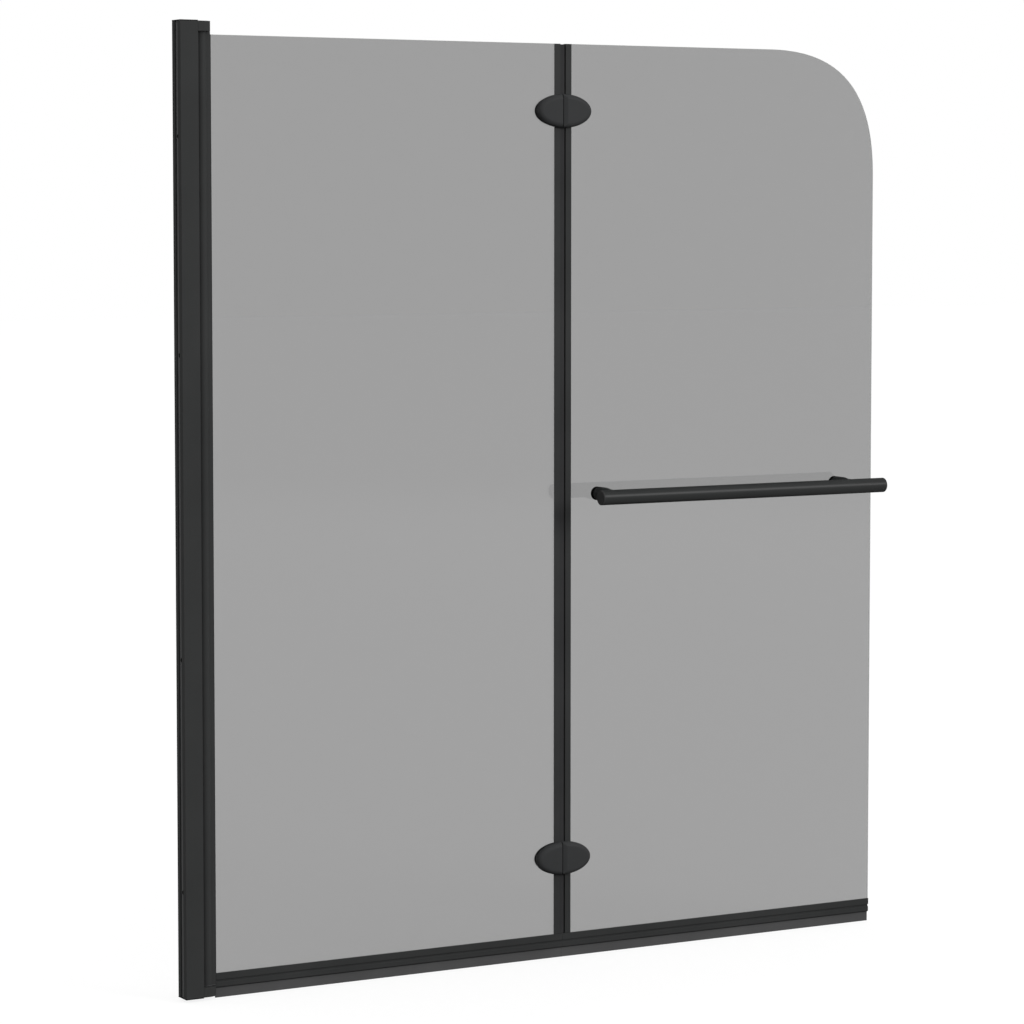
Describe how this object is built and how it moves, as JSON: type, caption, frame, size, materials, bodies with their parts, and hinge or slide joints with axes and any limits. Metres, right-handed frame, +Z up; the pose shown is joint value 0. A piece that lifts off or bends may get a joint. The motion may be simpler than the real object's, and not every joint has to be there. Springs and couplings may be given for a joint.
{
  "type": "folding shower screen",
  "caption": "Folding glass bath screen that pivots on a wall profile, with oval glass-to-glass hinges, a rounded top corner, sealing strips and a front towel rail.",
  "frame": {"origin": "on the wall plane, at the foot of the wall profile, in the mid-plane of the closed glass", "axes": "+X out from the wall along the open screen, +Y to the back of the screen (the side away from the towel rail), +Z up"},
  "size_m": [1.2, 0.1008, 1.4042],
  "materials": {
    "profile_black": "satin black powder coat on extruded aluminium",
    "bracket_black": "satin powder coat on cast zinc",
    "hinge_black": "satin powder coat on cast zinc",
    "rail_black": "satin powder coat on tube",
    "cap_black": "fine moulded grain",
    "tinted_glass": "polished, grey tint",
    "seal_clip": "extruded, satin",
    "soft_seal": "soft, matt",
    "pad": "matt",
    "nylon": "smooth moulded",
    "steel": "turned"
  },
  "bodies": {
    "wall": {"wall_profile": "profile_black", "wall_cap_top": "cap_black", "wall_cap_bottom": "cap_black", "pivot_bracket_top": "bracket_black", "pivot_bracket_bottom": "bracket_black", "pivot_pin_top": "steel", "pivot_pin_bottom": "steel", "bracket_screws": "steel", "wall_lip_seals": "soft_seal"},
    "inner_panel": {"pivot_profile": "profile_black", "pivot_bush_top": "nylon", "pivot_bush_bottom": "nylon", "glazing_gasket_front": "soft_seal", "glazing_gasket_back": "soft_seal", "inner_glass": "tinted_glass", "inner_seam_clip": "seal_clip", "seam_bulb": "soft_seal", "inner_bottom_clip": "seal_clip", "inner_bottom_fin": "soft_seal", "upper_inner_cover": "hinge_black", "upper_inner_leaf": "hinge_black", "upper_inner_gaskets": "pad", "upper_inner_screws": "steel", "upper_hinge_pin": "steel", "lower_inner_cover": "hinge_black", "lower_inner_leaf": "hinge_black", "lower_inner_gaskets": "pad", "lower_inner_screws": "steel", "lower_hinge_pin": "steel"},
    "outer_panel": {"outer_glass": "tinted_glass", "outer_seam_clip": "seal_clip", "seam_lip": "soft_seal", "outer_bottom_clip": "seal_clip", "outer_bottom_fin": "soft_seal", "towel_bar": "rail_black", "bar_end_cap_left": "cap_black", "bar_end_cap_right": "cap_black", "rail_post_left": "rail_black", "rail_post_right": "rail_black", "rail_front_washers": "pad", "rail_back_washers": "pad", "rail_back_caps": "rail_black", "rail_bolts": "steel", "upper_outer_cover": "hinge_black", "upper_outer_leaf": "hinge_black", "upper_outer_gaskets": "pad", "upper_outer_screws": "steel", "lower_outer_cover": "hinge_black", "lower_outer_leaf": "hinge_black", "lower_outer_gaskets": "pad", "lower_outer_screws": "steel"}
  },
  "joints": [
    {"name": "inner_panel_swing", "type": "hinge", "parent": "wall", "child": "inner_panel", "pos_m": [0.0375, 0, 0.7], "axis": [0, 0, 1], "range_deg": [-80, 90]},
    {"name": "outer_panel_fold", "type": "hinge", "parent": "inner_panel", "child": "outer_panel", "pos_m": [0.63156, 0.01, 0.7], "axis": [0, 0, 1], "range_deg": [0, 180]}
  ]
}
